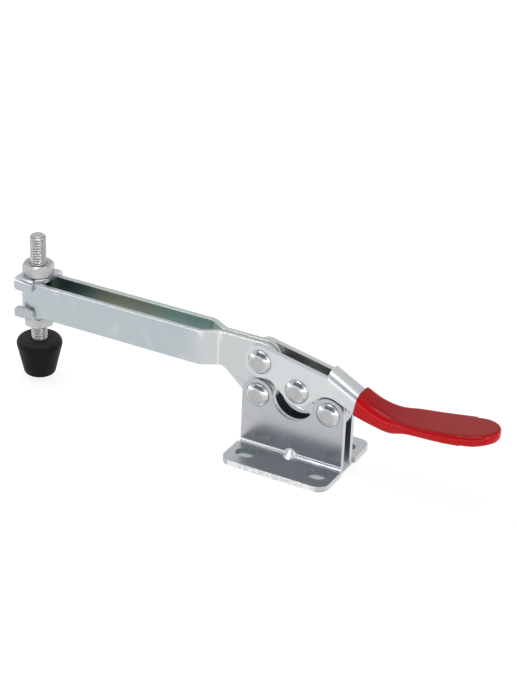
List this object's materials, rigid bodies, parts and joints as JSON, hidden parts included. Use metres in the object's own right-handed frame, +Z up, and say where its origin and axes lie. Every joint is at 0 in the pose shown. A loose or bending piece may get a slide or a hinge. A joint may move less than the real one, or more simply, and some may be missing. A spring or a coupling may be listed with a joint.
{
  "type": "horizontal handle toggle clamp",
  "caption": "Flange-base toggle clamp with a long U-shaped bar, a sliding spindle with a rubber cap, and a red dipped grip.",
  "frame": {"origin": "centre of the four mounting slots, on the underside of the base", "axes": "+X towards the handle, -X along the bar to the spindle, +Z up from the mounting surface, Y across the clamp"},
  "size_m": [0.1873, 0.0372, 0.0572],
  "materials": {
    "zinc_sheet": "bright zinc plating, satin, with faint blue and yellow tints",
    "rivet_steel": "polished zinc plating",
    "bolt_steel": "zinc plated, satin",
    "rubber": "matt black moulded rubber",
    "red_vinyl": "glossy dipped vinyl"
  },
  "bodies": {
    "base": {"base_plate_front": "zinc_sheet", "base_plate_rear": "zinc_sheet", "rivet_a": "rivet_steel", "rivet_d": "rivet_steel"},
    "bar": {"bar": "zinc_sheet"},
    "link": {"link_plate_front": "zinc_sheet", "link_plate_rear": "zinc_sheet"},
    "handle": {"handle": "zinc_sheet", "grip": "red_vinyl", "rivet_b": "rivet_steel", "rivet_c": "rivet_steel"},
    "carriage": {"washer_upper": "zinc_sheet", "washer_lower": "zinc_sheet", "nut_upper": "bolt_steel", "nut_lower": "bolt_steel"},
    "spindle": {"spindle": "bolt_steel", "cap": "rubber"}
  },
  "joints": [
    {"name": "bar_hinge", "type": "hinge", "parent": "base", "child": "bar", "pos_m": [-0.0135, 0, 0.0218], "axis": [0, 1, 0], "range_deg": [0, 60]},
    {"name": "link_hinge", "type": "hinge", "parent": "base", "child": "link", "pos_m": [0.0135, 0, 0.0218], "axis": [0, 1, 0], "range_deg": [-0.1, 73]},
    {"name": "handle_hinge", "type": "hinge", "parent": "link", "child": "handle", "pos_m": [0.0013, 0, 0.0272], "axis": [0, 1, 0], "range_deg": [-125, 0.1]},
    {"name": "carriage_slide", "type": "slide", "parent": "bar", "child": "carriage", "axis": [1, 0, 0], "range_m": [0, 0.05]},
    {"name": "spindle_slide", "type": "slide", "parent": "carriage", "child": "spindle", "axis": [0, 0, 1], "range_m": [-0.009, 0.005]}
  ],
  "couplings": [
    {"joint": "link_hinge", "follows": "bar_hinge", "ratio": 1.21},
    {"joint": "handle_hinge", "follows": "bar_hinge", "ratio": -2.0767}
  ]
}
